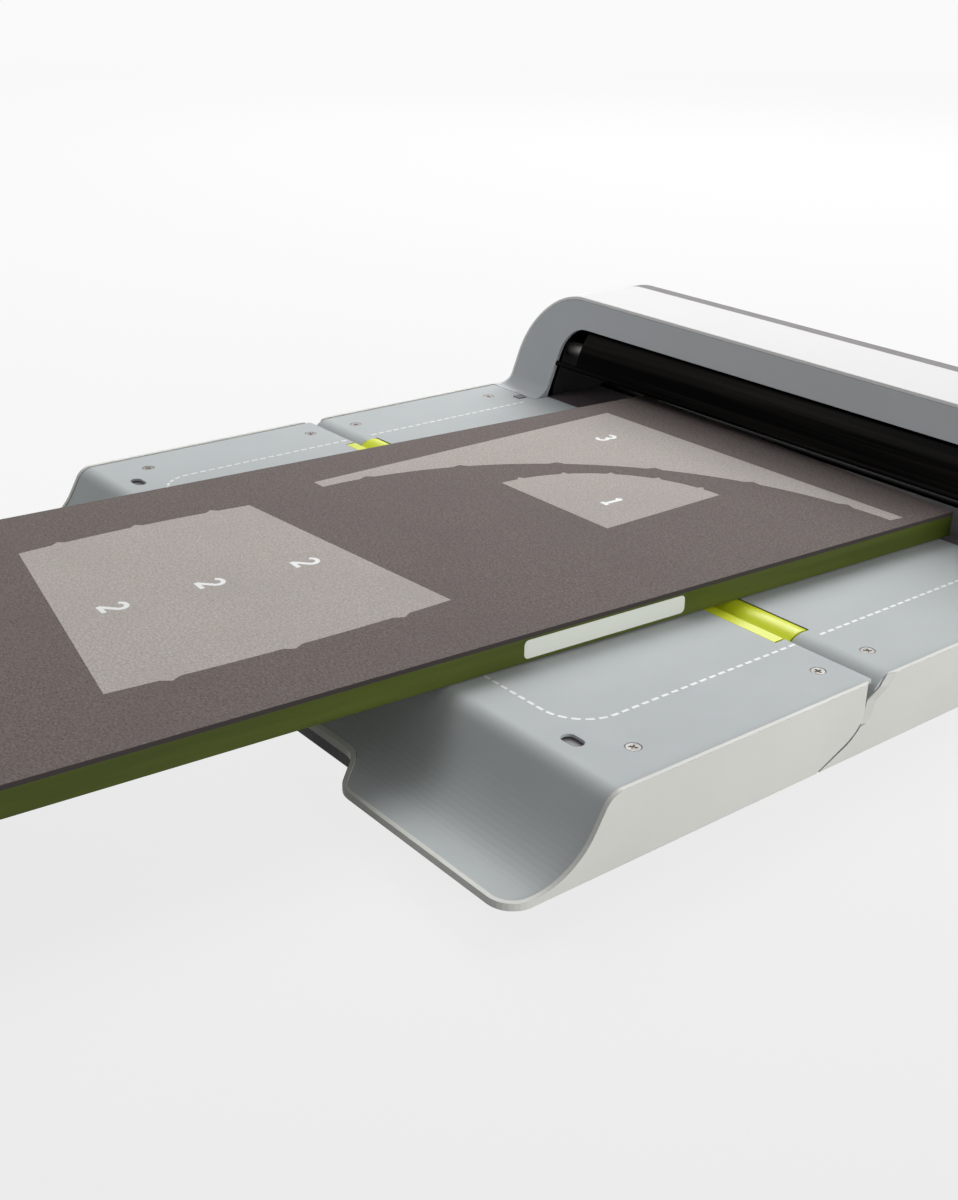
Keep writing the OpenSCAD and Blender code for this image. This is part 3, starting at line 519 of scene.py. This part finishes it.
def die_label():
    """The blank sticker on the board's long side."""
    bm = bmesh.new()
    low, high = DIE_BOTTOM + 1.6, DIE_BOTTOM + BOARD_T - 1.0
    v0, v1 = 193.0, 287.4
    r = 2.4
    side, thick = DIE_W / 2, 0.15
    outline = (arc(v1 - r, high - r, r, 90, 0, 5) + arc(v1 - r, low + r, r, 0, -90, 5)
               + arc(v0 + r, low + r, r, 270, 180, 5) + arc(v0 + r, high - r, r, 180, 90, 5))
    outer = [bm.verts.new((side + thick, v, z)) for v, z in outline]
    inner = [bm.verts.new((side, v, z)) for v, z in outline]
    bm.faces.new(outer)
    bm.faces.new(list(reversed(inner)))
    for i in range(len(outline)):
        j = (i + 1) % len(outline)
        bm.faces.new((outer[i], outer[j], inner[j], inner[i]))
    bmesh.ops.transform(bm, matrix=die_place(), verts=bm.verts)
    piece("board_sticker", bm, "label", "die")


def hole_plugs():
    """Plugs that sit recessed in the two oval holes of the front wing's deck."""
    bm = bmesh.new()
    r, half = 3.4, 2.25  # radius of the plug's round ends, and half of the distance between them
    low, high = DECK_Z - 5.0, DECK_Z - 1.8
    for side in (-1, 1):
        x, y = side * HOLE_X, -(HINGE_Y + HOLE_REACH)
        outline = arc(x + half, y, r, -90, 90, 10) + arc(x - half, y, r, 90, 270, 10)
        slab(bm, outline, low, high)
    piece("front_wing_hole_plugs", bm, "recess", "front_wing")


for end, sign in (("front", -1), ("rear", 1)):
    stitch(end, sign)
    places = [(side * SCREW_X, sign * (HINGE_Y + reach)) for side in (-1, 1) for reach in WING_SCREW_REACH[end]]
    screws(end + "_wing_screw_set", places, end + "_wing", end + "_wing_screws")
screws("shelf_screw_set", [(x * SCREW_X, sign * y) for x in (-1, 1) for sign in (-1, 1) for y in SHELF_SCREW_Y],
       "machine", "shelf_screws")
die_marks()
die_label()
hole_plugs()


# ---------------------------------------------------------------- floor and light
def stage_plate(name, size, z, look):
    """A plate under the object, 2 x size wide, with its top at z, in mm."""
    thick = 20
    bm = bmesh.new()
    slab(bm, [(-size, -size), (size, -size), (size, size), (-size, size)], z - thick, z)
    obj = solid(name, bm, look)


def backdrop_look():
    """A pale sweep, lighter far from the object, that keeps a soft shadow under it."""
    near, far = -4.0, 4.0  # metres along the floor, away from the camera
    away = (-0.774, 0.634, 0.0)
    look = Look("floor_pale", (0.40, 0.40, 0.40, 1.0), 0.9, Specular_IOR_Level=0.0)
    depth = look.add("ShaderNodeVectorMath", operation="DOT_PRODUCT")
    depth.inputs[1].default_value = away
    look.link(look.coords, depth.inputs[0])
    tone = look.add("ShaderNodeValToRGB")
    # Painted light: the glow is darkest just in front of the object and rises far off, a falloff of light across
    # the backdrop
    stops = ((-4.0, 0.94), (-1.6, 0.89), (-0.95, 0.80), (-0.60, 0.775), (-0.38, 0.80),
             (-0.05, 0.855), (0.30, 0.86), (1.3, 0.88), (3.4, 0.94))
    ramp = tone.color_ramp
    while len(ramp.elements) < len(stops):
        ramp.elements.new(0.5)
    for element, (at, value) in zip(ramp.elements, stops):
        element.position = (at - near) / (far - near)
        element.color = (value, value, value, 1)
    look.link(look.ramp(depth.outputs["Value"], near, far), tone.inputs["Fac"])
    glow = look.add("ShaderNodeEmission")
    look.link(tone.outputs["Color"], glow.inputs["Color"])
    shade = look.add("ShaderNodeBsdfDiffuse")
    shade.inputs["Color"].default_value = (0.08, 0.08, 0.08, 1)
    seen = look.add("ShaderNodeAddShader")
    look.link(shade.outputs[0], seen.inputs[0])
    look.link(glow.outputs[0], seen.inputs[1])
    mix = look.add("ShaderNodeMixShader")
    look.link(seen_directly(look.tree), mix.inputs[0])
    look.link(look.bsdf.outputs[0], mix.inputs[1])
    look.link(seen.outputs[0], mix.inputs[2])
    look.link(mix.outputs[0], look.tree.nodes["Material Output"].inputs["Surface"])
    return look


def seen_directly(tree):
    """1 for camera, glossy and transmission rays."""
    path = tree.nodes.new("ShaderNodeLightPath")
    total = path.outputs["Is Camera Ray"]
    for name in ("Is Glossy Ray", "Is Transmission Ray"):
        both = tree.nodes.new("ShaderNodeMath")
        both.operation = "MAXIMUM"
        tree.links.new(total, both.inputs[0])
        tree.links.new(path.outputs[name], both.inputs[1])
        total = both.outputs[0]
    return total


def world_light():
    """A weak even light, and a white background where the world is seen."""
    world = bpy.data.worlds.new("world")
    bpy.context.scene.world = world
    world.use_nodes = True
    tree = world.node_tree
    back = tree.nodes["Background"]
    back.inputs["Color"].default_value = (0.96, 0.97, 1.0, 1)
    back.inputs["Strength"].default_value = 0.15
    seen = tree.nodes.new("ShaderNodeBackground")
    seen.inputs["Color"].default_value = (0.97, 0.97, 0.97, 1)
    seen.inputs["Strength"].default_value = 1.0
    mix = tree.nodes.new("ShaderNodeMixShader")
    tree.links.new(seen_directly(tree), mix.inputs[0])
    tree.links.new(back.outputs[0], mix.inputs[1])
    tree.links.new(seen.outputs[0], mix.inputs[2])
    tree.links.new(mix.outputs[0], tree.nodes["World Output"].inputs["Surface"])


def lamp(name, place, target, size, energy):
    """A rectangular lamp at a place in metres, turned to a target."""
    data = bpy.data.lights.new(name, "AREA")
    data.shape = "RECTANGLE"
    data.size, data.size_y = size
    data.energy = energy
    obj = bpy.data.objects.new(name, data)
    bpy.context.collection.objects.link(obj)
    obj.location = place
    obj.rotation_euler = (Vector(target) - Vector(place)).to_track_quat("-Z", "Y").to_euler()


stage_plate("floor", 30000, -0.1, backdrop_look())
world_light()
lamp("key", (-1.0, 1.3, 1.6), (0, -0.1, 0), (1.8, 1.4), 49)
lamp("fill", (-0.9, -1.2, 1.6), (0, -0.1, 0), (1.0, 1.0), 8)
lamp("side", (2.3, 0.1, 0.45), (0, -0.1, 0.05), (1.2, 0.8), 29)
